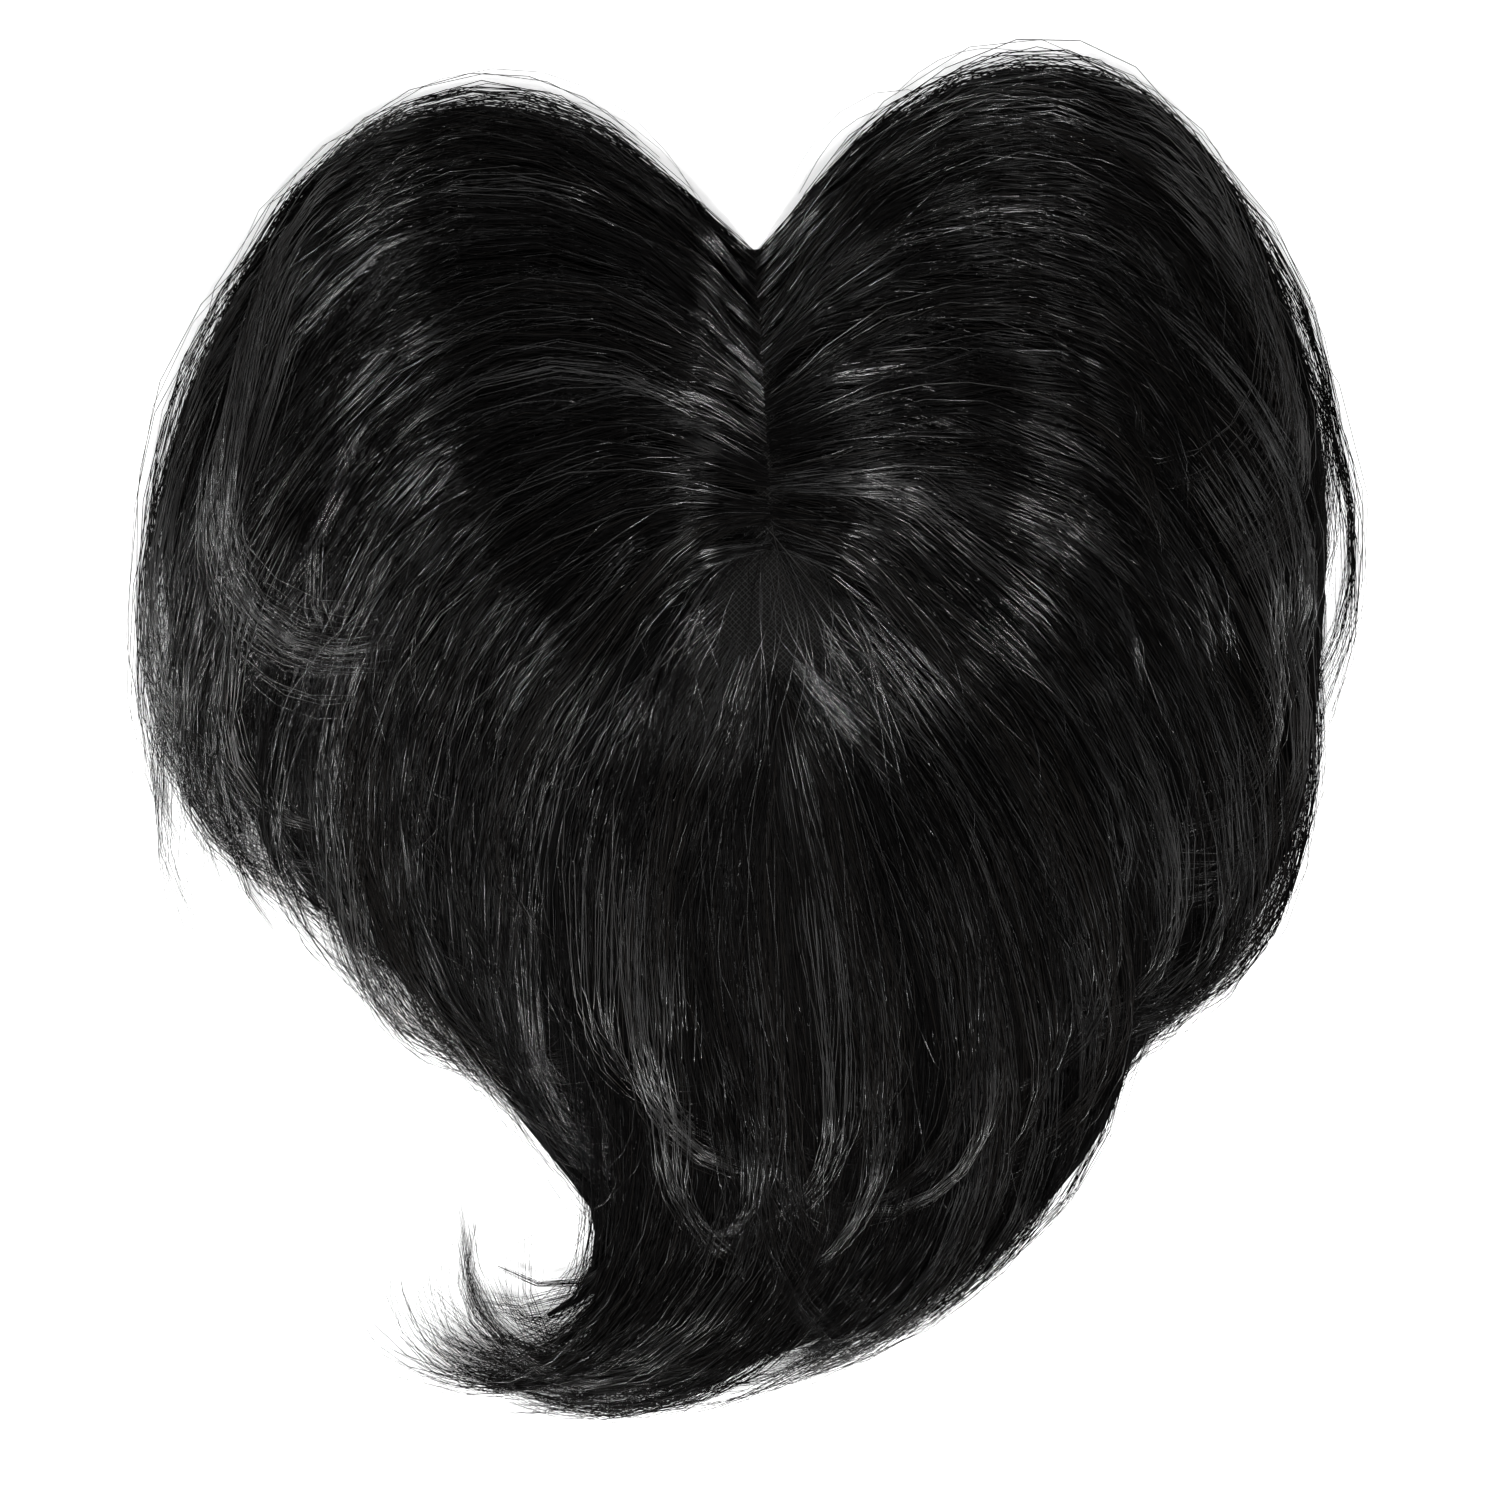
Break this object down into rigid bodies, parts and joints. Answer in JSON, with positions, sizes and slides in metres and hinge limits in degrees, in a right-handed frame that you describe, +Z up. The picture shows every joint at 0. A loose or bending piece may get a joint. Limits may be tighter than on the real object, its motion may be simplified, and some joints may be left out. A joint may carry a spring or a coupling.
{
  "type": "hair topper",
  "caption": "Hair topper: a domed oval net carrying layered hair combed away from a middle parting, with snap clips inside, laid out flat with its tail swept to one side.",
  "frame": {"origin": "on the surface that the topper lies on, under the middle of its bounding box", "axes": "+Z up, +Y towards the forehead edge, +X to the right of the parting as seen from above with the forehead edge away from the viewer"},
  "size_m": [0.2948, 0.3318, 0.0308],
  "materials": {
    "hair_fibre": "glossy black fibre strands",
    "net": "matt black tulle net",
    "clip_steel": "black enamelled spring steel"
  },
  "bodies": {
    "root": {"base_net": "net", "hair_left": "hair_fibre", "hair_right": "hair_fibre", "hair_back": "hair_fibre", "clip_front": "clip_steel", "clip_back": "clip_steel", "clip_left": "clip_steel", "clip_right": "clip_steel"}
  },
  "joints": []
}
